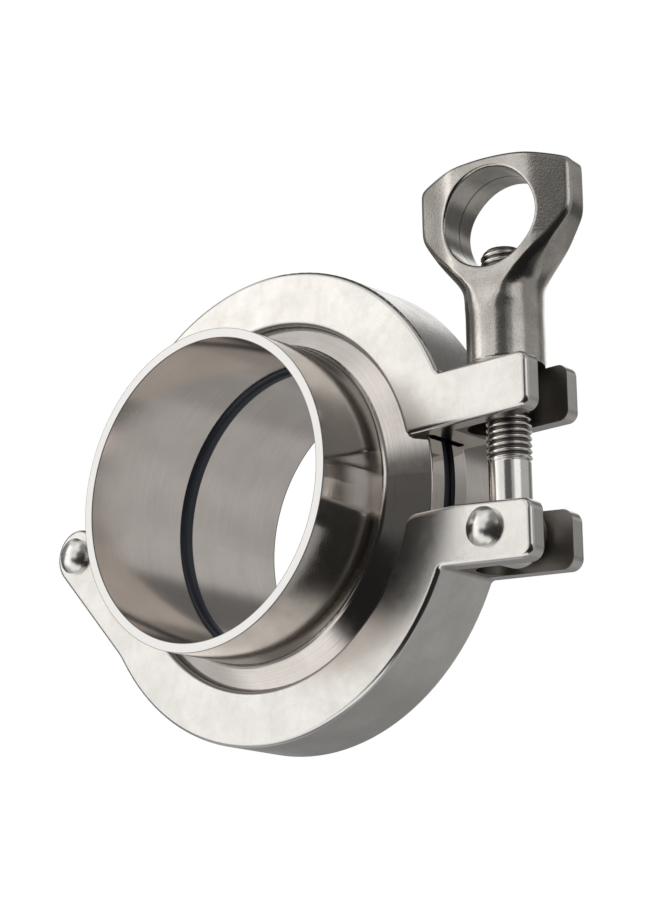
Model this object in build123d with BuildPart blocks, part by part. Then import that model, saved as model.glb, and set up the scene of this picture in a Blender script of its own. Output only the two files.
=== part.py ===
from build123d import *
import os
from math import acos, atan2, cos, hypot, radians, sin, sqrt, tan

os.makedirs("parts", exist_ok=True)

# Hinged pipe clamp joining two 2-inch sanitary weld ferrules over a gasket.
# The bore runs along Y with the near weld end towards -Y. The hinge is on -X, the swing bolt
# on +X with its nut uppermost, and the origin is on the bore axis in the middle of the gasket.

# Driving dimensions, millimetres
tube_od = 50.8
tube_wall = 1.5
weld_end_y = 21.5  # from the middle of the gasket to each weld end
flange_od = 64.0
rim_thickness = 2.9
cone_angle = 27.0  # slope of the flange's back, measured from its face
gasket_thickness = 2.6

clamp_width = 13.2
ring_wall = 6.1  # clamp ring outside the flange's edge
grip_share = 0.41  # how much of the flange's overhang past the tube the ring's jaws cover
edge_round = 0.75

hinge_reach = 5.2  # hinge axis outside the ring
hinge_z = -0.85
bolt_reach = 5.4  # bolt axis outside the ring
pivot_z = -11.0
pin_diameter = 4.0
pin_head_diameter = 6.0

bolt_diameter = 6.9
shank_diameter = 6.7
thread_start_z = -0.3
bolt_tip_z = 33.4
eye_width = 6.9
tongue_width = 5.6

upper_lug_top = 14.6
upper_lug_bottom = 5.9
lower_lug_top = -6.5
lower_lug_bottom = -15.6
lower_lug_fall = 1.3  # the lower lug slopes down by this much to its end
lug_overhang = 8.4  # lug beyond the bolt axis
lower_slot_reach = 6.1  # slot behind the bolt axis, in the lower lug
upper_slot_reach = 6.9  # the same in the upper lug

nut_turn = 7.9  # degrees that the wings stand off the line of the clamp
stem_diameter = 12.0
wing_span = 26.3
wing_height = 32.9
finger_hole_diameter = 15.7
finger_hole_height = 23.2

# Fits
seat_clearance = 0.02  # ring groove to flange cone
pin_clearance = 0.05  # radial, pins in their holes
slot_clearance = 0.1  # each side, tongue and bolt eye between the ears
thread_clearance = 0.05  # radial, over the crests
nut_clearance = 0.02  # nut to the lug's top

# Worked out from the above
tube_radius = tube_od / 2
bore_radius = tube_radius - tube_wall
flange_radius = flange_od / 2
half_gasket = gasket_thickness / 2
rim_back = half_gasket + rim_thickness
half_width = clamp_width / 2
pin_radius = pin_diameter / 2
slope = tan(radians(cone_angle))

ring_outer_radius = flange_radius + ring_wall
ring_inner_radius = flange_radius - grip_share * (flange_radius - tube_radius)
hinge_x = -(ring_outer_radius + hinge_reach)
bolt_x = ring_outer_radius + bolt_reach
lug_end_x = bolt_x + lug_overhang
hinge = (hinge_x, hinge_z)
pivot = (bolt_x, pivot_z)
far = 2 * ring_outer_radius  # past the part on every side
slot_width = eye_width + 2 * slot_clearance


# Weld ferrules: a short tube with a flange that has a bead groove in its face and a conical back
bead_radius = 1.45
bead_offset = 0.25  # bead outside the middle of the flange's face
bead_circle = (bore_radius + flange_radius) / 2 + bead_offset
groove_clearance = 0.05
root_round = 1.0
rim_round = 0.35
bore_chamfer = 0.15
cone_foot = rim_back + (flange_radius - tube_radius) * slope

with BuildPart() as front_ferrule:
    with BuildSketch(Plane.XY) as ferrule_profile:
        with BuildLine():
            Polyline(
                (bore_radius, -half_gasket),
                (flange_radius, -half_gasket),
                (flange_radius, -rim_back),
                (tube_radius, -cone_foot),
                (tube_radius, -weld_end_y),
                (bore_radius, -weld_end_y),
                close=True,
            )
        make_face()
        with Locations((bead_circle, -half_gasket)):
            Circle(bead_radius + groove_clearance, mode=Mode.SUBTRACT)
        root = ferrule_profile.vertices().sort_by_distance((tube_radius, -cone_foot))[0]
        fillet(root, radius=root_round)
        rim_corner = ferrule_profile.vertices().sort_by_distance((flange_radius, -rim_back))[0]
        fillet(rim_corner, radius=rim_round)
        lip = ferrule_profile.vertices().sort_by_distance((bore_radius, -half_gasket))[0]
        chamfer(lip, length=bore_chamfer)
    revolve(axis=Axis.Y)
front_ferrule.part.label = "front_ferrule"
export_step(front_ferrule.part, "parts/front_ferrule.step")

with BuildPart() as rear_ferrule:
    add(front_ferrule.part.rotate(Axis.Z, 180))
rear_ferrule.part.label = "rear_ferrule"
export_step(rear_ferrule.part, "parts/rear_ferrule.step")


# Gasket: a flat ring with a bead on each face and a rounded lip squeezed a little into the bore
gasket_proud = 0.7
gasket_recess = 0.9
gasket_lip_round = 0.9
gasket_edge_round = 0.4

with BuildPart() as gasket:
    with BuildSketch(Plane.XY) as gasket_profile:
        gasket_inner = bore_radius - gasket_proud
        gasket_outer = flange_radius - gasket_recess
        with Locations(((gasket_inner + gasket_outer) / 2, 0)):
            Rectangle(gasket_outer - gasket_inner, gasket_thickness)
        fillet(gasket_profile.vertices().group_by(Axis.X)[0], radius=gasket_lip_round)
        fillet(gasket_profile.vertices().group_by(Axis.X)[-1], radius=gasket_edge_round)
        with Locations((bead_circle, half_gasket), (bead_circle, -half_gasket)):
            Circle(bead_radius)
    revolve(axis=Axis.Y)
gasket.part.label = "gasket"
export_step(gasket.part, "parts/gasket.step")


# V groove that both halves share: it follows the two flange cones and clears the rims
rim_gap = 0.6  # groove's bottom to the flange rims
groove_radius = flange_radius + rim_gap
groove_root_round = 0.8
groove_mouth_depth = 1.0  # the cutting profile runs on this far inside the ring


def groove_half_width(radius: float) -> float:
    """Half the width of the V groove at a radius, one seat clearance off the flange cones."""
    return rim_back + (flange_radius - radius) * slope + seat_clearance / cos(radians(cone_angle))


with BuildPart() as v_groove:
    with BuildSketch(Plane.XY) as groove_profile:
        mouth = ring_inner_radius - groove_mouth_depth
        with BuildLine():
            Polyline(
                (mouth, groove_half_width(mouth)),
                (groove_radius, groove_half_width(groove_radius)),
                (groove_radius, -groove_half_width(groove_radius)),
                (mouth, -groove_half_width(mouth)),
                close=True,
            )
        make_face()
        fillet(groove_profile.vertices().group_by(Axis.X)[-1], radius=groove_root_round)
    revolve(axis=Axis.Y)


# Lower half: half ring, tapered arm to the hinge fork, and the slotted lug that holds the bolt
hinge_split_gap = 1.0
knuckle_radius = 4.6
knuckle_clearance = 0.35
tongue_slot = tongue_width + 2 * slot_clearance
arm_inset = 0.7
arm_flank_radius = ring_outer_radius - arm_inset  # from the bore axis to the arm's straight flank
arm_blend_radius = 12.0
knuckle_root_round = 0.5
lower_slot_end_x = bolt_x - lower_slot_reach
lower_lug_round = 1.9
lower_split_round = 2.2
lug_root_round = 1.0
lug_sink = 0.3  # the lug's underside starts this far inside the ring
lower_split_z = hinge_z - hinge_split_gap / 2
upper_split_z = hinge_z + hinge_split_gap / 2


def on_circle(radius: float, height: float) -> tuple[float, float]:
    """The point of a circle round the bore at a height, on the bolt's side."""
    return (sqrt(radius**2 - height**2), height)


# Where the arm's flank, tangent to the knuckle, runs into the ring
flank_normal = atan2(hinge_z, hinge_x) + acos((arm_flank_radius - knuckle_radius) / hypot(*hinge))
flank_meet = flank_normal - acos(arm_flank_radius / ring_outer_radius)
flank_foot = (ring_outer_radius * cos(flank_meet), ring_outer_radius * sin(flank_meet))
knuckle_foot = (hinge_x + knuckle_radius, lower_split_z)

with BuildPart() as lower_clamp_half:
    with BuildSketch(Plane.XZ) as lower_outline:
        with Locations(hinge):
            Circle(knuckle_radius)
        Circle(arm_flank_radius)
        make_hull()
        Circle(ring_outer_radius)
        with BuildLine():
            Polyline(
                (-far, lower_split_z),
                (0, lower_split_z),
                (0, lower_lug_top),
                (far, lower_lug_top),
                (far, -far),
                (-far, -far),
                close=True,
            )
        make_face(mode=Mode.INTERSECT)
        lug_start_x = on_circle(ring_outer_radius, lower_lug_top)[0]
        with BuildLine():
            Polyline(
                (ring_inner_radius, lower_lug_top),
                (lug_start_x + lug_root_round / 2, lower_lug_top),
                (lug_end_x, lower_lug_top - lower_lug_fall),
                (lug_end_x, lower_lug_bottom - lower_lug_fall),
                on_circle(ring_outer_radius - lug_sink, lower_lug_bottom),
                (ring_inner_radius, lower_lug_bottom),
                close=True,
            )
        make_face()
        with Locations(hinge):
            Circle(knuckle_radius)
        Circle(ring_inner_radius, mode=Mode.SUBTRACT)
        for corner, corner_radius in (
            ((lug_end_x, lower_lug_top - lower_lug_fall), lower_lug_round),
            ((lug_end_x, lower_lug_bottom - lower_lug_fall), lower_lug_round),
            (on_circle(ring_outer_radius, lower_lug_bottom), lug_root_round),
            (on_circle(ring_inner_radius, lower_lug_top), lower_split_round),
            (flank_foot, arm_blend_radius),
            (knuckle_foot, knuckle_root_round),
        ):
            fillet(lower_outline.vertices().sort_by_distance(corner)[0], radius=corner_radius)
    extrude(amount=half_width, both=True)
    rims = lower_clamp_half.faces().filter_by(Axis.Y).edges()
    fillet(rims, radius=edge_round)
    add(v_groove.part, mode=Mode.SUBTRACT)
    # Slot for the bolt, open at the end of the lug and fully round at the inner end
    with BuildSketch(Plane.XY.offset(lower_lug_bottom - 2 * lower_lug_fall)):
        with Locations((lower_slot_end_x + slot_width / 2, 0)):
            Circle(slot_width / 2)
            Rectangle(far, slot_width, align=(Align.MIN, Align.CENTER))
    extrude(amount=-lower_lug_bottom, mode=Mode.SUBTRACT)
    # Fork for the upper half's tongue
    with BuildSketch(Plane.XZ):
        with Locations(hinge):
            Circle(knuckle_radius + knuckle_clearance)
    extrude(amount=tongue_slot / 2, both=True, mode=Mode.SUBTRACT)
    with BuildSketch(Plane.XZ):
        with Locations(hinge, pivot):
            Circle(pin_radius + pin_clearance)
    extrude(amount=half_width, both=True, mode=Mode.SUBTRACT)
lower_clamp_half.part.label = "lower_clamp_half"
export_step(lower_clamp_half.part, "parts/lower_clamp_half.step")


# Upper half: half ring, hinge tongue, and the open slotted lug that the nut bears on
upper_slot_end_x = bolt_x - upper_slot_reach
tongue_inset = 1.4
tongue_flank_radius = arm_flank_radius - tongue_inset
tongue_root_x = -0.7 * ring_inner_radius
upper_lug_round = 1.6
upper_split_round = 1.2

with BuildPart() as upper_clamp_half:
    with BuildSketch(Plane.XZ) as upper_outline:
        Circle(ring_outer_radius)
        with BuildLine():
            Polyline(
                (-far, upper_split_z),
                (0, upper_split_z),
                (0, upper_lug_bottom),
                (far, upper_lug_bottom),
                (far, far),
                (-far, far),
                close=True,
            )
        make_face(mode=Mode.INTERSECT)
        with Locations((ring_inner_radius, upper_lug_bottom)):
            lug_size = (lug_end_x - ring_inner_radius, upper_lug_top - upper_lug_bottom)
            Rectangle(*lug_size, align=(Align.MIN, Align.MIN))
        Circle(ring_inner_radius, mode=Mode.SUBTRACT)
        for corner, corner_radius in (
            ((lug_end_x, upper_lug_top), upper_lug_round),
            ((lug_end_x, upper_lug_bottom), upper_lug_round),
            (on_circle(ring_outer_radius, upper_lug_top), lug_root_round),
            (on_circle(ring_inner_radius, upper_lug_bottom), upper_split_round),
        ):
            fillet(upper_outline.vertices().sort_by_distance(corner)[0], radius=corner_radius)
    extrude(amount=half_width, both=True)
    rims = upper_clamp_half.faces().filter_by(Axis.Y).edges()
    fillet(rims, radius=edge_round)
    # Tongue between the ears of the lower half
    with BuildSketch(Plane.XZ):
        with Locations(hinge):
            Circle(knuckle_radius)
        Circle(tongue_flank_radius)
        make_hull()
        with Locations((tongue_root_x, upper_split_z)):
            Rectangle(far, far, align=(Align.MAX, Align.MIN), mode=Mode.INTERSECT)
        with Locations(hinge):
            Circle(knuckle_radius)
    extrude(amount=tongue_width / 2, both=True)
    add(v_groove.part, mode=Mode.SUBTRACT)
    with BuildSketch(Plane.XZ):
        Circle(ring_inner_radius)
    extrude(amount=half_width, both=True, mode=Mode.SUBTRACT)
    with BuildSketch(Plane.XY.offset(upper_lug_bottom)):
        with Locations((upper_slot_end_x + slot_width / 2, 0)):
            Circle(slot_width / 2)
            Rectangle(far, slot_width, align=(Align.MIN, Align.CENTER))
    extrude(amount=upper_lug_top - upper_lug_bottom, mode=Mode.SUBTRACT)
    with BuildSketch(Plane.XZ):
        with Locations(hinge):
            Circle(pin_radius + pin_clearance)
    extrude(amount=half_width, both=True, mode=Mode.SUBTRACT)
upper_clamp_half.part.label = "upper_clamp_half"
export_step(upper_clamp_half.part, "parts/upper_clamp_half.step")


# Pins: headed at both ends with a short rim under each dome
head_rim = 0.7
head_height = 2.0
head_radius = pin_head_diameter / 2
rim_y = half_width + head_rim
dome_y = half_width + head_height
dome_height = head_height - head_rim
dome_radius = (head_radius**2 + dome_height**2) / (2 * dome_height)
dome_mid = head_radius / 2
dome_mid_y = dome_y - dome_radius + (dome_radius**2 - dome_mid**2) ** 0.5

with BuildPart() as hinge_pin:
    with BuildSketch(Plane.XY):
        with BuildLine():
            Line((0, -dome_y), (0, dome_y))
            ThreePointArc((0, dome_y), (dome_mid, dome_mid_y), (head_radius, rim_y))
            Polyline(
                (head_radius, rim_y),
                (head_radius, half_width),
                (pin_radius, half_width),
                (pin_radius, -half_width),
                (head_radius, -half_width),
                (head_radius, -rim_y),
            )
            ThreePointArc((head_radius, -rim_y), (dome_mid, -dome_mid_y), (0, -dome_y))
        make_face()
    revolve(axis=Axis.Y)
hinge_pin_body = hinge_pin.part
bolt_pivot_body = hinge_pin_body.translate((bolt_x, 0, pivot_z))
hinge_pin_body = hinge_pin_body.translate((hinge_x, 0, hinge_z))
hinge_pin_body.label = "hinge_pin"
bolt_pivot_body.label = "bolt_pivot_pin"
export_step(hinge_pin_body, "parts/hinge_pin.step")
export_step(bolt_pivot_body, "parts/bolt_pivot_pin.step")


# Swing bolt: an eye on the pivot pin, a plain neck, and a threaded length; the helix is texture
eye_radius = 4.9
tip_chamfer = 0.9
eye_round = 2.2  # the eye's rim follows the round end of the slot

with BuildPart() as swing_bolt:
    with BuildSketch(Plane.XZ):
        with Locations(pivot):
            Circle(eye_radius)
    extrude(amount=eye_width / 2, both=True)
    fillet(swing_bolt.faces().filter_by(Axis.Y).edges(), radius=eye_round)
    with BuildSketch(Plane.XY.offset(pivot_z)):
        with Locations((bolt_x, 0)):
            Circle(shank_diameter / 2)
    extrude(amount=thread_start_z - pivot_z)
    with BuildSketch(Plane.XY.offset(thread_start_z)):
        with Locations((bolt_x, 0)):
            Circle(bolt_diameter / 2)
    extrude(amount=bolt_tip_z - thread_start_z)
    chamfer(swing_bolt.faces().sort_by(Axis.Z)[-1].edges(), length=tip_chamfer)
    with BuildSketch(Plane.XZ):
        with Locations(pivot):
            Circle(pin_radius + pin_clearance)
    extrude(amount=half_width, both=True, mode=Mode.SUBTRACT)
swing_bolt.part.label = "swing_bolt"
export_step(swing_bolt.part, "parts/swing_bolt.step")


# Wing nut: a round stem that flares into a plate, thick round the finger hole and thin at its ends
nut_z = upper_lug_top + nut_clearance
turn = radians(nut_turn)
nut_front = Plane(origin=(bolt_x, 0, nut_z), x_dir=(cos(turn), sin(turn), 0), z_dir=(sin(turn), -cos(turn), 0))
nut_base = Plane(origin=(bolt_x, 0, nut_z), x_dir=(cos(turn), sin(turn), 0), z_dir=(0, 0, 1))
stem_radius = stem_diameter / 2
half_span = wing_span / 2
half_hub = 4.75  # half the plate's thickness at the finger hole
half_tip = 2.3  # half its thickness at the wing ends
hub_half_span = 6.5  # the plate keeps its full thickness this far out
wing_foot = 22.5
wing_shoulder = 30.7
flare_foot = 15.3
flare_half = 7.8
wing_corner_round = 1.3
plate_edge_round = 0.55
foot_chamfer = 0.6

# Sections of the neck: height, half width, half depth and corner radius. The flat front starts
# as a point on the round stem and widens until its corners are the plate's own edges.
neck_foot = 8.0
neck_sections = (
    (9.8, 6.05, 5.9, 4.7),
    (11.6, 6.2, 5.65, 4.0),
    (13.3, 6.7, 5.3, 2.6),
    (flare_foot, flare_half, 4.95, 1.7),
)

with BuildPart() as wing_nut:
    with BuildSketch(nut_front) as wing_outline:
        with BuildLine():
            Polyline(
                (-half_span, wing_shoulder),
                (-half_span, wing_foot),
                (-flare_half, flare_foot),
                (flare_half, flare_foot),
                (half_span, wing_foot),
                (half_span, wing_shoulder),
            )
            ThreePointArc((half_span, wing_shoulder), (0, wing_height), (-half_span, wing_shoulder))
        make_face()
        fillet(wing_outline.vertices().group_by(Axis.Y)[1:], radius=wing_corner_round)
    extrude(amount=half_hub, both=True)
    with BuildSketch(nut_base):
        Polygon(
            (-half_span, half_tip),
            (-hub_half_span, half_hub),
            (hub_half_span, half_hub),
            (half_span, half_tip),
            (half_span, -half_tip),
            (hub_half_span, -half_hub),
            (-hub_half_span, -half_hub),
            (-half_span, -half_tip),
            align=None,
        )
    extrude(amount=wing_height, mode=Mode.INTERSECT)
    above_foot = nut_z + flare_foot + plate_edge_round
    plate_edges = wing_nut.edges().filter_by(lambda e: e.center().Z > above_foot)
    fillet(plate_edges, radius=plate_edge_round)
    with BuildSketch(nut_base.offset(neck_foot)):
        Circle(stem_radius)
    for height, width_half, depth_half, corner_radius in neck_sections:
        with BuildSketch(nut_base.offset(height)):
            RectangleRounded(2 * width_half, 2 * depth_half, corner_radius)
    loft()
    with BuildSketch(nut_base):
        Circle(stem_radius)
    extrude(amount=neck_foot)
    chamfer(wing_nut.faces().sort_by(Axis.Z)[0].edges(), length=foot_chamfer)
    with BuildSketch(nut_front):
        with Locations((0, finger_hole_height)):
            Circle(finger_hole_diameter / 2)
    extrude(amount=stem_radius, both=True, mode=Mode.SUBTRACT)
    with BuildSketch(nut_base):
        Circle(bolt_diameter / 2 + thread_clearance)
    extrude(amount=finger_hole_height, mode=Mode.SUBTRACT)
wing_nut.part.label = "wing_nut"
export_step(wing_nut.part, "parts/wing_nut.step")
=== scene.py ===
import logging
from dataclasses import dataclass
from enum import Enum
from math import cos, pi, radians, sin
from typing import Callable

import bmesh
import bpy
import numpy as np
from mathutils import Matrix, Vector


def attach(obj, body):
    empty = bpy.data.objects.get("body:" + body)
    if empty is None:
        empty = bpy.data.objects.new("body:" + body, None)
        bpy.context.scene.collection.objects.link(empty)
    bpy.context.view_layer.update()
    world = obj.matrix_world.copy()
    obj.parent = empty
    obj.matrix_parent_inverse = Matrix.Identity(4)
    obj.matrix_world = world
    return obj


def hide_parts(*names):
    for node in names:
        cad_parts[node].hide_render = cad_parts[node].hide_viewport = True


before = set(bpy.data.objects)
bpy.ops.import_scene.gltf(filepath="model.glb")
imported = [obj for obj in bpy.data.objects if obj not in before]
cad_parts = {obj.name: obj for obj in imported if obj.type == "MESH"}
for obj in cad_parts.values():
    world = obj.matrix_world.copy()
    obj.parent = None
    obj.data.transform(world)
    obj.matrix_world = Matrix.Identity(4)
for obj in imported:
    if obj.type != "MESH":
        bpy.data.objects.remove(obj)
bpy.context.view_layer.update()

# Hinged clamp on two weld ferrules: stainless finishes, the bolt's real thread and the cast wing
# nut, lit as a bright metal part on a white ground. Lengths are metres, in the row frame.

MM = 0.001
MERGE = 0.001 * MM
Colour = tuple[float, float, float, float]
log = logging.getLogger("clamp")


class Wire:
    """A socket or a plain number, joined by Python's operators into Math nodes."""

    def __init__(self, bench: "Bench", source: "bpy.types.NodeSocket | float") -> None:
        """Keeps the node tree's bench and what the wire carries."""
        self.bench = bench
        self.source = source

    def maths(self, operation: str, *others: "Wire | float") -> "Wire":
        """One Math node on this value and the others.

        Args:
            operation: the node's operation, such as MULTIPLY.
            others: the remaining inputs, in order.

        Returns:
            The node's result.
        """
        node = self.bench.add("ShaderNodeMath", {"operation": operation}, [self, *others])
        return Wire(self.bench, node.outputs[0])

    def __add__(self, other: "Wire | float") -> "Wire":
        """Sum."""
        return self.maths("ADD", other)

    __radd__ = __add__

    def __sub__(self, other: "Wire | float") -> "Wire":
        """Difference."""
        return self.maths("SUBTRACT", other)

    def __rsub__(self, other: float) -> "Wire":
        """Difference, the number first."""
        return Wire(self.bench, other).maths("SUBTRACT", self)

    def __mul__(self, other: "Wire | float") -> "Wire":
        """Product."""
        return self.maths("MULTIPLY", other)

    __rmul__ = __mul__

    def __pow__(self, other: "Wire | float") -> "Wire":
        """Power."""
        return self.maths("POWER", other)

    def __abs__(self) -> "Wire":
        """Size without sign."""
        return self.maths("ABSOLUTE")

    def ramp(self, low: float, high: float) -> "Wire":
        """A smooth step from 0 at low to 1 at high; low may be the larger of the two.

        Args:
            low: the value that gives 0.
            high: the value that gives 1.

        Returns:
            The step's height.
        """
        node = self.bench.add(
            "ShaderNodeMapRange",
            {"interpolation_type": "SMOOTHSTEP"},
            {"Value": self, "From Min": low, "From Max": high, "To Min": 0.0, "To Max": 1.0},
        )
        return Wire(self.bench, node.outputs[0])

    def between(self, low: float, high: float) -> "Wire":
        """This 0 to 1 value stretched to run from low to high."""
        return self * (high - low) + low


class Bench:
    """Makes and joins the nodes of one node tree."""

    def __init__(self, tree: bpy.types.NodeTree) -> None:
        """Starts on an emptied tree."""
        self.tree = tree
        tree.nodes.clear()

    def add(
        self,
        kind: str,
        settings: "dict[str, object] | None" = None,
        inputs: "dict[str | int, object] | list[object] | None" = None,
    ) -> bpy.types.Node:
        """Adds one node, its settings first and its inputs after them.

        Args:
            kind: the node's type.
            settings: attributes to set on the node.
            inputs: values or wires, by name, by number or in order.

        Returns:
            The node.
        """
        node = self.tree.nodes.new(kind)
        for name, value in (settings or {}).items():
            setattr(node, name, value)
        pairs = inputs.items() if isinstance(inputs, dict) else enumerate(inputs or [])
        for key, value in pairs:
            source = value.source if isinstance(value, Wire) else value
            if isinstance(source, bpy.types.NodeSocket):
                self.tree.links.new(source, node.inputs[key])
            else:
                node.inputs[key].default_value = source
        return node

    def place(self) -> "tuple[Wire, Wire, Wire, Wire]":
        """The point's own coordinates: the vector, then x, y and z."""
        where = self.add("ShaderNodeTexCoord").outputs["Object"]
        parts = self.add("ShaderNodeSeparateXYZ", None, [Wire(self, where)]).outputs
        return Wire(self, where), Wire(self, parts[0]), Wire(self, parts[1]), Wire(self, parts[2])

    def vector(self, x: "Wire | float", y: "Wire | float", z: "Wire | float") -> Wire:
        """A vector from three values."""
        return Wire(self, self.add("ShaderNodeCombineXYZ", None, [x, y, z]).outputs[0])

    def noise(self, where: Wire, grain: float, detail: float = 2.0, rough: float = 0.5) -> Wire:
        """Soft noise from 0 to 1 whose features are about one grain across.

        Args:
            where: the point it is read at.
            grain: feature size, in the units of the point.
            detail: how many finer layers are added.
            rough: how strong the finer layers are.

        Returns:
            The noise.
        """
        node = self.add(
            "ShaderNodeTexNoise",
            {"noise_dimensions": "3D"},
            {"Vector": where, "Scale": 1.0 / grain, "Detail": detail, "Roughness": rough},
        )
        return Wire(self, node.outputs[0])

    def blend(self, amount: "Wire | float", first: object, second: object) -> Wire:
        """Mixes two colours.

        Args:
            amount: 0 for the first, 1 for the second.
            first: a colour or a wire.
            second: a colour or a wire.

        Returns:
            The mixed colour.
        """
        node = self.add("ShaderNodeMix", {"data_type": "RGBA"}, {0: amount, 6: first, 7: second})
        return Wire(self, node.outputs[2])

    def shaded(self, tint: Colour, toned: Wire, plain: Colour) -> Wire:
        """A colour carrying the tone of another surface: the tint times toned over plain.

        Args:
            tint: the colour that is toned.
            toned: the other surface's colour with its tone.
            plain: the other surface's colour without it.

        Returns:
            The toned colour.
        """
        factor = tuple(a / b for a, b in zip(tint, plain))
        settings = {"data_type": "RGBA", "blend_type": "MULTIPLY"}
        node = self.add("ShaderNodeMix", settings, {0: 1.0, 6: toned, 7: factor})
        return Wire(self, node.outputs[2])

    def bump(self, height: Wire, depth: float, under: "Wire | None" = None) -> Wire:
        """Turns a height from 0 to 1 into a surface normal.

        Args:
            height: the height.
            depth: what a height of 1 stands for, in metres.
            under: a normal that this one is laid over.

        Returns:
            The normal.
        """
        inputs: dict[str, object] = {"Strength": 1.0, "Distance": depth, "Height": height}
        if under is not None:
            inputs["Normal"] = under
        return Wire(self, self.add("ShaderNodeBump", None, inputs).outputs[0])


def colour(red: float, green: float, blue: float) -> Colour:
    """A linear colour with full alpha."""
    return (red, green, blue, 1.0)


FLECK_TONE = colour(0.16, 0.15, 0.14)
LINE_TONE = colour(0.30, 0.28, 0.26)


class Lay(Enum):
    """Which way the fine lines of a finish run."""

    NONE = "none"
    ROUND_BORE = "round the bore"


@dataclass(frozen=True)
class Zone:
    """A place on a piece with its own finish.

    The mask runs from 0 to 1. The grain is a share of the piece's own, and toned is how much of the
    piece's lines and flecks still shows in the colour.
    """

    mask: Wire
    tint: Colour
    gloss: float
    grain: float = 0.3
    toned: float = 0.0


@dataclass(frozen=True)
class SteelFinish:
    """A stainless surface: colour, gloss, grain of the blasting or casting, and fine lines.

    Attributes:
        name: the material's name.
        tint: the lighter colour.
        shade: the darker colour that the tint drifts to.
        gloss_low: the least roughness.
        gloss_high: the greatest roughness.
        grain: the size of the grain.
        grain_depth: its height.
        lay: which way the fine lines run.
        line_width: their width.
        line_depth: their height.
        line_tone: how dark they are, from 0 to 1.
        line_gloss: how far they move the roughness.
        line_arc: line widths that one radian round the bore counts for.
        fleck: how dark the flecks are, from 0 to 1.
        fleck_grain: their size as a share of the grain's.
        drift: the size of the slow noise.
        patch: the size of the middling noise.
    """

    name: str
    tint: Colour
    shade: Colour
    gloss_low: float
    gloss_high: float
    grain: float
    grain_depth: float
    lay: Lay = Lay.NONE
    line_width: float = 0.12 * MM
    line_depth: float = 0.0
    line_tone: float = 0.0
    line_gloss: float = 0.12
    line_arc: float = 1.6
    fleck: float = 0.0
    fleck_grain: float = 0.7
    drift: float = 6.0 * MM
    patch: float = 1.6 * MM

    def make(self, zones: "Callable[[Bench], list[Zone]] | None" = None) -> bpy.types.Material:
        """Builds the material.

        The colour drifts between tint and shade by a slow noise, the roughness by a middling one,
        and the surface has a fine grain. Dark flecks follow the middling noise. A turned or brushed
        surface has lines along its lay: noise that is read at the place along the bore, the radius
        and the angle round it, so that it runs on round the bore.

        Args:
            zones: gives the places on the piece that are finished in another way.

        Returns:
            The material.
        """
        material = bpy.data.materials.new(self.name)
        material.use_nodes = True
        bench = Bench(material.node_tree)
        where, x, y, z = bench.place()
        drift = bench.noise(where, self.drift, 3.0).ramp(0.3, 0.7)
        patch = bench.noise(where, self.patch, 3.0, 0.6).ramp(0.25, 0.75)
        metal = bench.blend(drift, self.tint, self.shade)
        gloss = (drift * 0.5 + patch * 0.5).between(self.gloss_low, self.gloss_high)
        grain = bench.noise(where, self.grain, 2.0, 0.6)
        if self.fleck > 0:
            dots = bench.noise(where, self.grain * self.fleck_grain, 3.0, 0.7).ramp(0.42, 0.72)
            metal = bench.blend(dots * patch.between(0.4, 1.0) * self.fleck, metal, FLECK_TONE)
        lines = None
        if self.lay is Lay.ROUND_BORE:
            radius = (x * x + z * z) ** 0.5
            turn = Wire(bench, bench.add("ShaderNodeMath", {"operation": "ARCTAN2"}, [z, x]).outputs[0])
            spot = bench.vector(y, radius, turn * (self.line_width * self.line_arc))
            lines = bench.noise(spot, self.line_width, 4.0, 0.7)
            gloss = gloss + (lines - 0.5) * self.line_gloss
            metal = bench.blend(lines.ramp(0.40, 0.70) * self.line_tone, metal, LINE_TONE)
        for zone in zones(bench) if zones else []:
            own = bench.blend(zone.toned, zone.tint, bench.shaded(zone.tint, metal, self.tint))
            metal = bench.blend(zone.mask, metal, own)
            gloss = gloss * (1 - zone.mask) + zone.mask * zone.gloss
            grain = grain * (1 - zone.mask * (1 - zone.grain))
        normal = bench.bump(grain, self.grain_depth)
        if lines is not None and self.line_depth > 0:
            normal = bench.bump(lines, self.line_depth, normal)
        shader = bench.add(
            "ShaderNodeBsdfPrincipled",
            None,
            {"Base Color": metal, "Metallic": 1.0, "Roughness": gloss, "Normal": normal},
        )
        bench.add("ShaderNodeOutputMaterial", None, [Wire(bench, shader.outputs[0])])
        return material


def dress(node: str, material: bpy.types.Material) -> None:
    """Gives a CAD node its finish.

    Args:
        node: the node's name.
        material: its material.
    """
    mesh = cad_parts[node].data
    mesh.materials.clear()
    mesh.materials.append(material)
    log.info("dressed %s", node)


def grid_mesh(name: str, points: np.ndarray, ring: bool) -> bpy.types.Object:
    """Makes a closed mesh object from a grid of points whose columns run round.

    Args:
        name: the object's name.
        points: rows by columns by 3, the last column next to the first.
        ring: joins the last row to the first. Otherwise one face closes each end.

    Returns:
        The object, at the origin, with smooth shading.
    """
    rows, columns = points.shape[:2]
    left = np.arange(rows * columns).reshape(rows, columns)
    right = np.roll(left, -1, axis=1)
    low = np.arange(rows) if ring else np.arange(rows - 1)
    up = (low + 1) % rows
    faces = np.stack([left[low], right[low], right[up], left[up]], axis=-1).reshape(-1, 4).tolist()
    if not ring:
        faces.append(left[0][::-1].tolist())
        faces.append(left[-1].tolist())
    mesh = bpy.data.meshes.new(name)
    mesh.from_pydata(points.reshape(-1, 3).tolist(), [], faces)
    mesh.validate()
    mesh.shade_smooth()
    made = bpy.data.objects.new(name, mesh)
    bpy.context.scene.collection.objects.link(made)
    return made


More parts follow.
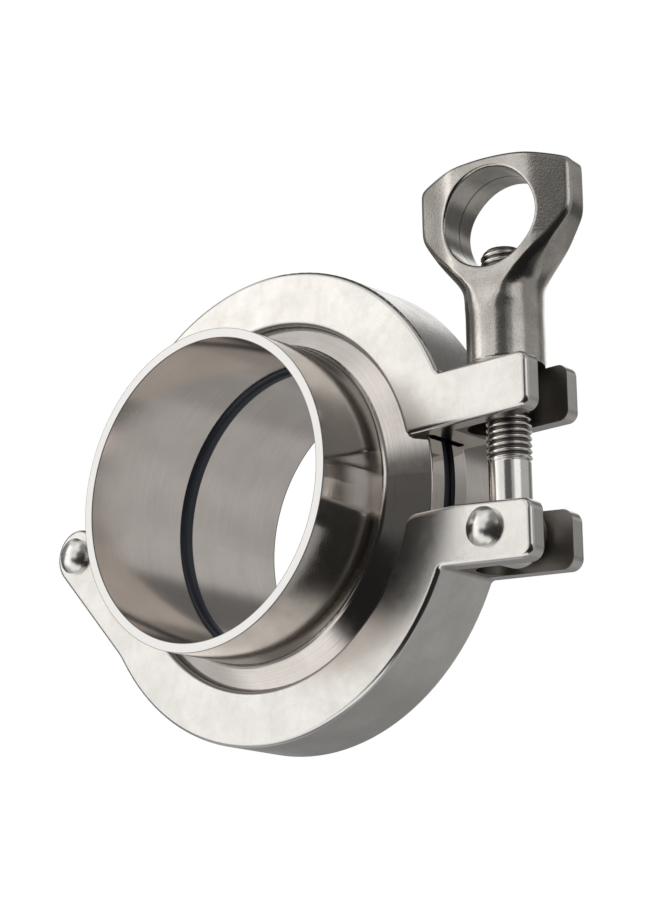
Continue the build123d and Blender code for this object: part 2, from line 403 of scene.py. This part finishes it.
@dataclass
class SwingBolt:
    """The swing bolt: an eye on its pin, a plain neck and a rolled thread up to a chamfered tip.

    Attributes:
        axis_x: where the bolt stands.
        pivot_z: the height of its pin.
        shank_radius: the plain neck's radius.
        crest_radius: the thread's outer radius.
        thread_depth: from crest to root.
        pitch: from one turn to the next.
        thread_start: the height at which the thread begins.
        tip_z: the height of its end.
        tip_chamfer: the chamfer's height and width.
        eye_radius: the eye's outer radius.
        eye_half_width: half its width along the pin.
        eye_round: the radius of its rim.
        pin_hole_radius: the hole for the pin.
        neck_foot: from the pivot up to where the neck begins, inside the eye.
        crest_share: the flat crest's share of half a pitch.
        flank_share: the flank's share of half a pitch.
        run_out: pitches over which the cut fades in.
        neck_rows: rows of points on the neck.
        rows_per_pitch: rows of points on each turn.
        columns: points round the rod.
        bend_rows: points on each rounding of the rim.
        eye_columns: points round the eye.
    """

    axis_x: float = 43.5 * MM
    pivot_z: float = -11.0 * MM
    shank_radius: float = 3.35 * MM
    crest_radius: float = 3.45 * MM
    thread_depth: float = 0.52 * MM
    pitch: float = 1.0 * MM
    thread_start: float = -0.3 * MM
    tip_z: float = 33.4 * MM
    tip_chamfer: float = 0.9 * MM
    eye_radius: float = 4.9 * MM
    eye_half_width: float = 3.45 * MM
    eye_round: float = 2.2 * MM
    pin_hole_radius: float = 2.05 * MM
    neck_foot: float = 2.6 * MM
    crest_share: float = 0.16
    flank_share: float = 0.68
    run_out: float = 0.8
    neck_rows: int = 8
    rows_per_pitch: int = 16
    columns: int = 72
    bend_rows: int = 10
    eye_columns: int = 96

    def threaded_rod(self) -> bpy.types.Object:
        """The neck and thread as one surface.

        A point at turn t and height z stands off the axis by the crest radius less the depth times
        a rounded saw of z over the pitch less t over a full turn. The crest is flat over its share
        of the pitch and the flanks take theirs. The cut fades in over most of one pitch above the
        neck, and the radius falls away over the chamfer at the tip.

        Returns:
            The rod, closed at both ends.
        """
        neck_top = self.thread_start - self.pitch
        neck = np.linspace(self.pivot_z + self.neck_foot, neck_top, self.neck_rows, endpoint=False)
        count = int((self.tip_z - neck_top) / self.pitch * self.rows_per_pitch)
        height = np.concatenate([neck, np.linspace(neck_top, self.tip_z, count)])
        turn = np.linspace(0, 2 * pi, self.columns, endpoint=False)
        z, t = np.meshgrid(height, turn, indexing="ij")
        phase = (z / self.pitch - t / (2 * pi)) % 1.0
        saw = np.abs(phase - 0.5) * 2.0
        cut = np.clip((saw - self.crest_share) / self.flank_share, 0, 1)
        cut = cut * cut * (3 - 2 * cut)
        fade = np.clip((z - self.thread_start) / (self.run_out * self.pitch), 0, 1)
        radius = self.shank_radius + (self.crest_radius - self.shank_radius) * fade
        radius = radius - self.thread_depth * cut * fade
        tip = np.clip((z - (self.tip_z - self.tip_chamfer)) / self.tip_chamfer, 0, 1)
        radius = np.minimum(radius, self.crest_radius - tip * self.tip_chamfer)
        points = np.stack([self.axis_x + radius * np.cos(t), radius * np.sin(t), z], axis=-1)
        return grid_mesh("bolt_thread", points, ring=False)

    def eye(self) -> bpy.types.Object:
        """The eye as a ring round the pivot pin.

        Its section is the hole's wall, two flat cheeks and a rounded rim, carried round the pin.

        Returns:
            The eye, closed.
        """
        flat = self.eye_radius - self.eye_round
        bend = np.linspace(0, pi / 2, self.bend_rows)
        outer_r = flat + self.eye_round * np.sin(bend)
        outer_y = self.eye_half_width - self.eye_round + self.eye_round * np.cos(bend)
        radius = np.concatenate([[self.pin_hole_radius], outer_r, outer_r[::-1], [self.pin_hole_radius]])
        across = np.concatenate([[self.eye_half_width], outer_y, -outer_y[::-1], [-self.eye_half_width]])
        turn = np.linspace(0, 2 * pi, self.eye_columns, endpoint=False)
        r, t = np.meshgrid(radius, turn, indexing="ij")
        y = np.repeat(across[:, None], len(turn), axis=1)
        points = np.stack([self.axis_x + r * np.cos(t), y, self.pivot_z + r * np.sin(t)], axis=-1)
        return grid_mesh("bolt_eye", points, ring=True)

    def build(self, finish: bpy.types.Material) -> None:
        """Makes the bolt's two surfaces and puts them in the place of the plain bolt."""
        for piece in (self.threaded_rod(), self.eye()):
            piece.data.materials.append(finish)
            tidy(piece)
            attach(piece, "bolt")
            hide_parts("swing_bolt")
            log.info("built %s", piece.name)


@dataclass
class WingNut:
    """The cast wing nut: a round stem that flares into a plate round the finger hole.

    Its own axes are x along the wings, y through the plate and z up from the foot.

    Attributes:
        axis_x: where the nut stands.
        foot_z: the height of its foot.
        turn: how far the plate is turned about the bolt.
        stem_radius: the round stem's radius.
        half_span: from the axis to a wing's end.
        height: from the foot to the top of the crown.
        crown_radius: the radius of the crown's arc.
        flare_start: the height at which the outline widens.
        flare_slope: how much it widens with height.
        flare_soft: over what height it begins to.
        corner_soft: how much the outline's corners are rounded.
        hole_radius: the finger hole's radius.
        hole_height: its centre, above the foot.
        lip: the rounding at its edge.
        taper_start: from where the plate thins towards the wings' ends.
        taper_slope: how much it thins there.
        taper_soft: over what width it begins to.
        plate_start: the height at which the stem's rounding begins to end.
        plate_rise: over what height it ends.
        plate_edge: the depth of the plate's rounded edge.
        bore_radius: the hole for the bolt.
        foot_round: the rounding at the foot.
        foot_share: how deep that rounding goes.
        side_top: the height up to which rays meet the stem and flare.
        far: a distance beyond the outline.
        halvings: steps in the search for the outline.
        sharp_angle: edges above it stay sharp.
        bore_columns: points round the bolt's hole.
        side_rays: rays to each side.
        wing_rays: rays over the wings and crown.
        foot_rays: rays to the foot.
        sheet_rows: rows of points from the hole to the outline.
        wall_rows: rows of points through a wall.
    """

    axis_x: float = 43.5 * MM
    foot_z: float = 14.62 * MM
    turn: float = radians(7.9)
    stem_radius: float = 6.0 * MM
    half_span: float = 13.15 * MM
    height: float = 32.88 * MM
    crown_radius: float = 40.4 * MM
    flare_start: float = 12.77 * MM
    flare_slope: float = 0.735
    flare_soft: float = 0.75 * MM
    corner_soft: float = 0.35 * MM
    hole_radius: float = 7.85 * MM
    hole_height: float = 23.2 * MM
    lip: float = 0.55 * MM
    taper_start: float = 6.5 * MM
    taper_slope: float = 0.368
    taper_soft: float = 0.6 * MM
    plate_start: float = 12.0 * MM
    plate_rise: float = 7.0 * MM
    plate_edge: float = 0.8 * MM
    bore_radius: float = 3.5 * MM
    foot_round: float = 0.5 * MM
    foot_share: float = 0.8
    side_top: float = 21.5 * MM
    far: float = 40 * MM
    halvings: int = 50
    sharp_angle: float = radians(38)
    bore_columns: int = 64
    side_rays: int = 84
    wing_rays: int = 180
    foot_rays: int = 40
    sheet_rows: int = 56
    wall_rows: int = 8

    def half_width(self, z: np.ndarray) -> np.ndarray:
        """Half the outline's width: the stem's radius plus a soft ramp above the flare's start."""
        rise = np.logaddexp(0, (z - self.flare_start) / self.flare_soft) * self.flare_soft
        return self.stem_radius + self.flare_slope * rise

    def inset(self, x: np.ndarray, z: np.ndarray) -> np.ndarray:
        """Distance in from the outline, the foot apart.

        It is the soft least of the distances from the stem and flare, from the wing's end and from
        the arc of the crown, so the corners come out rounded.

        Args:
            x: places along the wings.
            z: heights.

        Returns:
            The distances, above 0 inside.
        """
        step = 0.01 * MM
        slope = (self.half_width(z + step) - self.half_width(z)) / step
        side = (self.half_width(z) - np.abs(x)) / np.sqrt(1 + slope**2)
        end = self.half_span - np.abs(x)
        crown = self.crown_radius - np.hypot(x, z - (self.height - self.crown_radius))
        soft = self.corner_soft
        return -soft * np.logaddexp(np.logaddexp(-side / soft, -end / soft), -crown / soft)

    def half_depth(self, x: np.ndarray, z: np.ndarray, inset: np.ndarray, hole: np.ndarray) -> np.ndarray:
        """Half the nut's depth at a point of its front view.

        The full depth falls from the stem's radius to the plate's, and tapers along the wings. Near
        the outline it is rounded: over the stem the rounding is the stem's own circle, and over the
        plate it is a small edge with a flat wall behind it. Between the two the depth, the width of
        the rounding and its power are read between the heights of a few given knots.

        Args:
            x: places along the wings.
            z: heights.
            inset: distances in from the outline.
            hole: distances out from the finger hole.

        Returns:
            The half depths.
        """
        knots = np.array([0, 8.0, 9.8, 11.6, 13.3, 15.3, 17.0, 19.0, 22.0]) * MM
        depths = np.array([6.0, 6.0, 5.9, 5.65, 5.3, 4.95, 4.8, 4.75, 4.75]) * MM
        widths = np.array([6.0, 6.0, 4.8, 3.9, 2.6, 1.9, 1.45, 1.0, 0.8]) * MM
        powers = np.array([2.0, 2.0, 1.8, 1.6, 1.4, 1.35, 1.4, 1.7, 2.0])
        full = np.interp(z, knots, depths)
        wide = np.interp(z, knots, widths)
        power = np.interp(z, knots, powers)
        beyond = np.logaddexp(0, (np.abs(x) - self.taper_start) / self.taper_soft) * self.taper_soft
        full = full - self.taper_slope * beyond
        plate = np.clip((z - self.plate_start) / self.plate_rise, 0, 1)
        plate = plate * plate * (3 - 2 * plate)
        deep = full * (1 - plate) + self.plate_edge * plate
        short = np.clip(1 - np.maximum(inset, 0) / wide, 0, 1)
        depth = full - deep + deep * np.sqrt(np.maximum(1 - short**power, 0))
        near = np.clip(1 - hole / self.lip, 0, 1)
        depth = depth - self.lip * (1 - np.sqrt(np.maximum(1 - near**2, 0)))
        toe = np.clip(1 - z / self.foot_round, 0, 1)
        return depth - self.foot_round * toe * self.foot_share * (depth > 0)

    def surface(self) -> bpy.types.Object:
        """The closed skin, before the bolt's bore.

        Rays run from the finger hole's centre to the outline, whose distance is found by halving.
        Along each ray the front sheet goes out, a wall goes through the plate's edge, the back sheet
        comes in, and the hole's wall goes back to the front.

        Returns:
            The nut in the row frame.
        """
        side_z = np.linspace(0, self.side_top, self.side_rays)
        side = np.arctan2(side_z - self.hole_height, self.half_width(side_z))
        over = np.linspace(side[-1], pi - side[-1], self.wing_rays + 2)[1:-1]
        foot = np.linspace(-self.stem_radius, self.stem_radius, self.foot_rays + 2)[1:-1]
        under = np.arctan2(np.full_like(foot, -self.hole_height), foot)
        angle = np.concatenate([side, over, pi - side[::-1], under])
        run, rise = np.cos(angle), np.sin(angle)
        inner, outer = np.full_like(angle, self.hole_radius), np.full_like(angle, self.far)
        for _ in range(self.halvings):
            middle = (inner + outer) / 2
            inside = self.inset(middle * run, self.hole_height + middle * rise) > 0
            inner, outer = np.where(inside, middle, inner), np.where(inside, outer, middle)
        to_foot = np.where(rise < 0, self.hole_height / np.maximum(-rise, 1e-9), 1.0)
        reach = np.minimum(inner, to_foot)

        share = (1 - np.cos(np.linspace(0, pi, self.sheet_rows))) / 2
        radius = self.hole_radius + share[:, None] * (reach - self.hole_radius)[None, :]
        x, z = radius * run, self.hole_height + radius * rise
        depth = self.half_depth(x, z, self.inset(x, z), radius - self.hole_radius)
        depth = np.maximum(depth, 0)
        front = np.stack([x, -depth, z], axis=-1)
        back = np.stack([x, depth, z], axis=-1)[::-1]
        across = np.linspace(0, 1, self.wall_rows + 2)[1:-1, None, None]
        rim = front[-1][None] * (1 - across) + back[0][None] * across
        hole = back[-1][None] * (1 - across) + front[0][None] * across
        points = np.concatenate([front, rim, back, hole])
        out = points.copy()
        out[..., 0] = self.axis_x + points[..., 0] * cos(self.turn) - points[..., 1] * sin(self.turn)
        out[..., 1] = points[..., 0] * sin(self.turn) + points[..., 1] * cos(self.turn)
        out[..., 2] = self.foot_z + points[..., 2]
        return grid_mesh("wing_nut_casting", out, ring=True)

    def cut_bore(self, nut: bpy.types.Object) -> None:
        """Bores the nut for the bolt, up into the finger hole."""
        turn = np.linspace(0, 2 * pi, self.bore_columns, endpoint=False)
        height = np.array([self.foot_z - 2 * MM, self.foot_z + self.hole_height])
        z, t = np.meshgrid(height, turn, indexing="ij")
        x, y = self.axis_x + self.bore_radius * np.cos(t), self.bore_radius * np.sin(t)
        points = np.stack([x, y, z], axis=-1)
        drill = grid_mesh("drill", points, ring=False)
        tidy(drill)
        cut = nut.modifiers.new("bore", "BOOLEAN")
        cut.object = drill
        cut.operation = "DIFFERENCE"
        cut.solver = "EXACT"
        bpy.context.view_layer.update()
        graph = bpy.context.evaluated_depsgraph_get()
        bored = bpy.data.meshes.new_from_object(nut.evaluated_get(graph))
        nut.modifiers.clear()
        nut.data = bored
        bpy.data.objects.remove(drill)

    def build(self, finish: bpy.types.Material) -> None:
        """Makes the casting and puts it in the place of the plain nut."""
        nut = self.surface()
        tidy(nut)
        self.cut_bore(nut)
        nut.data.materials.clear()
        nut.data.materials.append(finish)
        nut.data.shade_smooth()
        nut.data.set_sharp_from_angle(angle=self.sharp_angle)
        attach(nut, "nut")
        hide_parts("wing_nut")
        log.info("built %s with %d faces", nut.name, len(nut.data.polygons))


def tidy(piece: bpy.types.Object) -> None:
    """Merges a closed piece's doubled points, drops faces of no area and turns the rest outwards."""
    mesh = bmesh.new()
    mesh.from_mesh(piece.data)
    bmesh.ops.remove_doubles(mesh, verts=mesh.verts, dist=MERGE)
    bmesh.ops.dissolve_degenerate(mesh, edges=mesh.edges, dist=MERGE)
    bmesh.ops.recalc_face_normals(mesh, faces=mesh.faces)
    mesh.to_mesh(piece.data)
    mesh.free()
    piece.data.shade_smooth()


@dataclass(frozen=True)
class Card:
    """A patch of the studio round the part, seen in the polished steel.

    Its bearing is counted from +x towards +y and its lift from the horizon, in degrees. The level
    is whole within the inner angle and gone at the outer one.
    """

    name: str
    bearing: float
    lift: float
    inner: float
    outer: float
    level: float

    def aim(self) -> Vector:
        """The direction it stands in."""
        bearing, lift = radians(self.bearing), radians(self.lift)
        return Vector((cos(lift) * cos(bearing), cos(lift) * sin(bearing), sin(lift)))


CARDS = (
    Card("grey tent", 60, 10, 96, 116, 0.38),
    Card("upper panel", -150, 54, 18, 34, 0.74),
    Card("ceiling", 150, 74, 20, 32, 0.07),
    Card("key panel", -138, -3, 15, 26, 1.25),
    Card("lower left", -176, -32, 14, 30, 0.42),
    Card("floor left", -160, -68, 14, 26, 0.25),
    Card("left gap", -172, 20, 18, 26, 0.20),
    Card("left floor", 172, -6, 10, 22, 0.10),
    Card("left wall", 153, 14, 9, 19, 0.08),
    Card("key edge", -96, 17, 11, 20, 0.80),
    Card("lower gap", -108, -12, 7, 14, 0.09),
    Card("back panel", 110, 24, 12, 23, 1.15),
    Card("back ceiling", 80, 48, 12, 24, 0.12),
    Card("back floor", 128, -18, 10, 21, 0.26),
    Card("back low", 108, -48, 10, 22, 0.28),
    Card("ceiling card", -52, 40, 14, 26, 0.22),
    Card("camera card", -65, 4, 17, 26, 0.09),
    Card("right wall", 38, 6, 22, 38, 0.41),
    Card("back gap", 66, 2, 10, 22, 0.13),
    Card("side panel", -16, 16, 11, 21, 0.95),
    Card("side card", 14, -30, 10, 24, 0.05),
    Card("front card", -36, -27, 31, 42, 0.02),
    Card("front edge", -84, -22, 15, 22, 0.015),
)


@dataclass
class Studio:
    """Camera, lamp, surroundings and floor.

    Attributes:
        camera_place: where the camera stands.
        heading: its turn from +y towards -x, in degrees.
        rise: how far it looks up, in degrees.
        roll: its turn about the line of sight, in degrees.
        frame_width: the picture's width in pixels.
        frame_height: its height.
        focal_pixels: the focal length in pixels.
        sensor: the sensor's height in millimetres.
        floor_z: the floor's height.
        floor_reach: half the floor's side.
        floor_tone: its colour, the same in each channel.
        warm: the lamp's colour.
        ground: the world's colour.
        key_place: where the lamp stands.
        key_size: its side.
        key_power: its watts.
    """

    camera_place: tuple[float, float, float] = (271.2 * MM, -300.9 * MM, -103.9 * MM)
    heading: float = 41.21
    rise: float = 15.683
    roll: float = -0.789
    frame_width: int = 658
    frame_height: int = 908
    focal_pixels: float = 2621.6
    sensor: float = 24.0
    floor_z: float = -0.175
    warm: Colour = colour(1.0, 0.985, 0.965)
    ground: Colour = colour(1.0, 1.0, 1.0)
    floor_reach: float = 3.0
    floor_tone: float = 0.99
    key_place: tuple[float, float, float] = (-0.75, -0.62, 0.55)
    key_size: float = 0.5
    key_power: float = 0.4

    def camera(self) -> None:
        """Stands the camera where the photograph was taken from."""
        data = bpy.data.cameras.new("photo_camera")
        data.sensor_fit = "VERTICAL"
        data.sensor_height = self.sensor
        data.sensor_width = self.sensor * self.frame_width / self.frame_height
        data.lens = self.focal_pixels / self.frame_height * self.sensor
        data.clip_start = 0.01
        data.clip_end = 10
        eye = bpy.data.objects.new("photo_camera", data)
        turn = Matrix.Rotation(radians(self.heading), 4, "Z")
        lift = Matrix.Rotation(radians(90 + self.rise), 4, "X")
        tilt = Matrix.Rotation(radians(self.roll), 4, "Z")
        eye.matrix_world = Matrix.Translation(self.camera_place) @ turn @ lift @ tilt
        bpy.context.scene.collection.objects.link(eye)
        bpy.context.scene.camera = eye

    def surroundings(self) -> None:
        """The white ground, and the cards that stand round the part in front of it.

        Camera, glossy and transmission rays meet the same white. The cards are out of the picture,
        so only the polished metal shows them. Each is a smooth patch: the level changes from
        outside to inside by a smooth step of the dot product of the direction looked in and the
        card's own. Diffuse rays get the plain white alone.
        """
        world = bpy.data.worlds.new("studio")
        bpy.context.scene.world = world
        world.use_nodes = True
        bench = Bench(world.node_tree)
        looking = Wire(bench, bench.add("ShaderNodeTexCoord").outputs["Generated"])
        level = Wire(bench, 1.0)
        for card in CARDS:
            pair = [looking, tuple(card.aim())]
            dot = bench.add("ShaderNodeVectorMath", {"operation": "DOT_PRODUCT"}, pair)
            outer, inner = cos(radians(card.outer)), cos(radians(card.inner))
            mask = Wire(bench, dot.outputs["Value"]).ramp(outer, inner)
            level = level * (1 - mask) + mask * card.level
        path = bench.add("ShaderNodeLightPath").outputs
        mirrored = Wire(bench, path["Is Glossy Ray"]) + Wire(bench, path["Is Transmission Ray"])
        strength = mirrored * level + (1 - mirrored)
        ground = bench.add("ShaderNodeBackground", None, {"Color": self.ground, "Strength": strength})
        bench.add("ShaderNodeOutputWorld", None, [Wire(bench, ground.outputs[0])])

    def lamp(self) -> None:
        """The key light: a square soft lamp that faces the part."""
        data = bpy.data.lights.new("key_lamp", "AREA")
        data.shape = "SQUARE"
        data.size = self.key_size
        data.energy = self.key_power
        data.color = self.warm[:3]
        lamp = bpy.data.objects.new("key_lamp", data)
        place = Vector(self.key_place)
        facing = (-place).to_track_quat("-Z", "Y").to_matrix().to_4x4()
        lamp.matrix_world = Matrix.Translation(place) @ facing
        bpy.context.scene.collection.objects.link(lamp)

    def floor(self) -> None:
        """A plain pale floor under the part, which mirrored rays pass."""
        reach = self.floor_reach
        corners = [(-reach, -reach), (reach, -reach), (reach, reach), (-reach, reach)]
        mesh = bpy.data.meshes.new("studio_floor")
        mesh.from_pydata([(x, y, self.floor_z) for x, y in corners], [], [(0, 1, 2, 3)])
        made = bpy.data.objects.new("studio_floor", mesh)
        bpy.context.scene.collection.objects.link(made)
        material = bpy.data.materials.new("pale_floor")
        material.use_nodes = True
        bench = Bench(material.node_tree)
        pale = colour(self.floor_tone, self.floor_tone, self.floor_tone)
        shader = bench.add("ShaderNodeBsdfPrincipled", None, {"Base Color": pale, "Roughness": 0.7})
        bench.add("ShaderNodeOutputMaterial", None, [Wire(bench, shader.outputs[0])])
        mesh.materials.append(material)
        made.visible_glossy = False

    def build(self) -> None:
        """Sets up everything round the part."""
        self.camera()
        self.surroundings()
        self.lamp()
        self.floor()
        bpy.context.scene.view_settings.view_transform = "Standard"
        log.info("lit by one lamp and %d cards", len(CARDS))


def clamp_zones(bench: Bench) -> "list[Zone]":
    """What differs from the blasted faces of the two halves.

    The rounding of the outer edges is polished, the ring's inner edge is darkened as a painted shadow
    where it meets the flange, and the slots between the ears are darkened as painted shade.

    Args:
        bench: the bench of the material's nodes.

    Returns:
        The zones, later ones over earlier ones.
    """
    round_start, round_whole, face_fade, face = 5.75 * MM, 5.95 * MM, 6.50 * MM, 6.59 * MM
    ring_edge, ring_fade = 29.55 * MM, 29.95 * MM
    slot_start, slot_whole = 35.6 * MM, 36.2 * MM
    slot_wall, slot_fade = 3.58 * MM, 3.72 * MM
    _, x, y, z = bench.place()
    side = abs(y)
    rounding = side.ramp(round_start, round_whole) * side.ramp(face, face_fade)
    # Painted shadow: the ring's inner edge is darkened where it meets the flange's cone, standing in for
    # the shade in the gap between the parts.
    ring = ((x * x + z * z) ** 0.5).ramp(ring_fade, ring_edge)
    # Painted shade: the faces of the slots between the ears are darkened, where shade falls in the narrow
    # slot.
    painted_slot_shade = x.ramp(slot_start, slot_whole) * side.ramp(slot_fade, slot_wall)
    return [
        Zone(rounding, colour(0.76, 0.74, 0.715), gloss=0.16, grain=0.1),
        # Painted shadow along the ring's inner edge.
        Zone(ring, colour(0.16, 0.155, 0.15), gloss=0.30, grain=0.3),
        # Painted shade in the slots between the ears.
        Zone(painted_slot_shade, colour(0.24, 0.22, 0.20), gloss=0.40, grain=1.0),
    ]


def ferrule_zones(bench: Bench) -> "list[Zone]":
    """The bright sawn end of the tube between two thin dark edges of painted shade, and its brushed bore.

    Args:
        bench: the bench of the material's nodes.

    Returns:
        The zones, later ones over earlier ones.
    """
    end_fade, end_face = 21.40 * MM, 21.46 * MM
    bore_wall, bore_fade = 24.1 * MM, 24.3 * MM
    edge_fade, edge_whole = 21.30 * MM, 21.36 * MM
    wall_middle, wall_fade, wall_half = 24.65 * MM, 0.62 * MM, 0.72 * MM
    _, x, y, z = bench.place()
    along = abs(y)
    radius = (x * x + z * z) ** 0.5
    end = along.ramp(end_fade, end_face)
    bore = radius.ramp(bore_fade, bore_wall) * (1 - end)
    # Painted shade: a thin dark line along the end face's inner and outer edges.
    edge = along.ramp(edge_fade, edge_whole) * abs(radius - wall_middle).ramp(wall_fade, wall_half)
    return [
        Zone(bore, colour(0.93, 0.86, 0.80), gloss=0.15, grain=0.2, toned=0.7),
        Zone(end, colour(0.94, 0.92, 0.895), gloss=0.50, grain=1.0),
        Zone(edge, colour(0.20, 0.19, 0.18), gloss=0.40, grain=1.0),
    ]


def bolt_zones(bench: Bench) -> "list[Zone]":
    """The roots of the thread, darkened as painted shade.

    Args:
        bench: the bench of the material's nodes.

    Returns:
        The one zone.
    """
    root, crest, fade = 3.0 * MM, 3.32 * MM, 0.2 * MM
    bolt = SwingBolt()
    _, x, y, z = bench.place()
    off = x - bolt.axis_x
    radius = (off * off + y * y) ** 0.5
    threaded = z.ramp(bolt.thread_start - fade, bolt.thread_start)
    # Painted shade: the thread's roots are darkened, where shade falls between the crests.
    return [Zone(radius.ramp(crest, root) * threaded, colour(0.20, 0.18, 0.165), gloss=0.35, grain=1.0)]


def nut_zones(bench: Bench) -> "list[Zone]":
    """The fine dark seam of the casting round the middle of the finger hole.

    Args:
        bench: the bench of the material's nodes.

    Returns:
        The one zone.
    """
    hole_wall, hole_fade = 8.1 * MM, 8.3 * MM
    seam_off, seam_half, seam_fade = 0.4 * MM, 0.05 * MM, 0.16 * MM
    nut = WingNut()
    _, x, y, z = bench.place()
    along = (x - nut.axis_x) * cos(nut.turn) + y * sin(nut.turn)
    through = y * cos(nut.turn) - (x - nut.axis_x) * sin(nut.turn)
    up = z - (nut.foot_z + nut.hole_height)
    hole = ((along * along + up * up) ** 0.5).ramp(hole_fade, hole_wall)
    seam = abs(through - seam_off).ramp(seam_fade, seam_half)
    return [Zone(seam * hole, colour(0.05, 0.045, 0.04), gloss=0.5, grain=1.0)]


def rubber() -> bpy.types.Material:
    """The gasket's blue-black rubber, smooth with a soft sheen."""
    material = bpy.data.materials.new("gasket_rubber")
    material.use_nodes = True
    bench = Bench(material.node_tree)
    where, _, _, _ = bench.place()
    drift = bench.noise(where, 3 * MM, 3.0)
    skin = bench.noise(where, 0.2 * MM, 2.0)
    shader = bench.add(
        "ShaderNodeBsdfPrincipled",
        None,
        {
            "Base Color": bench.blend(drift, colour(0.008, 0.012, 0.022), colour(0.02, 0.026, 0.04)),
            "Roughness": drift.between(0.28, 0.42),
            "Normal": bench.bump(skin, 0.004 * MM),
        },
    )
    bench.add("ShaderNodeOutputMaterial", None, [Wire(bench, shader.outputs[0])])
    return material


CLAMP_STEEL = SteelFinish(
    "clamp_steel",
    colour(0.755, 0.728, 0.690),
    colour(0.695, 0.668, 0.632),
    gloss_low=0.20,
    gloss_high=0.28,
    grain=0.20 * MM,
    grain_depth=0.012 * MM,
    fleck=0.26,
)
FERRULE_STEEL = SteelFinish(
    "ferrule_steel",
    colour(0.78, 0.725, 0.675),
    colour(0.70, 0.648, 0.60),
    gloss_low=0.08,
    gloss_high=0.15,
    grain=0.3 * MM,
    grain_depth=0.001 * MM,
    lay=Lay.ROUND_BORE,
    line_width=0.10 * MM,
    line_depth=0.003 * MM,
    line_tone=0.24,
)
PIN_STEEL = SteelFinish(
    "pin_steel",
    colour(0.86, 0.835, 0.80),
    colour(0.78, 0.755, 0.72),
    gloss_low=0.18,
    gloss_high=0.26,
    grain=0.3 * MM,
    grain_depth=0.003 * MM,
)
BOLT_STEEL = SteelFinish(
    "bolt_steel",
    colour(0.93, 0.90, 0.86),
    colour(0.85, 0.82, 0.78),
    gloss_low=0.09,
    gloss_high=0.15,
    grain=0.35 * MM,
    grain_depth=0.004 * MM,
    fleck=0.14,
)
NUT_STEEL = SteelFinish(
    "nut_steel",
    colour(0.66, 0.625, 0.575),
    colour(0.46, 0.432, 0.394),
    gloss_low=0.13,
    gloss_high=0.20,
    grain=0.34 * MM,
    grain_depth=0.013 * MM,
    fleck=0.5,
)


def main() -> None:
    """Builds the part's looks and the studio round it."""
    logging.basicConfig(level=logging.INFO)
    clamp_steel = CLAMP_STEEL.make(clamp_zones)
    ferrule_steel = FERRULE_STEEL.make(ferrule_zones)
    pin_steel = PIN_STEEL.make()
    bolt_steel = BOLT_STEEL.make(bolt_zones)
    nut_steel = NUT_STEEL.make(nut_zones)
    for half in ("upper_clamp_half", "lower_clamp_half"):
        dress(half, clamp_steel)
    for ferrule in ("front_ferrule", "rear_ferrule"):
        dress(ferrule, ferrule_steel)
    for pin in ("hinge_pin", "bolt_pivot_pin"):
        dress(pin, pin_steel)
    dress("gasket", rubber())
    SwingBolt().build(bolt_steel)
    WingNut().build(nut_steel)
    Studio().build()


if __name__ == "__main__":
    main()
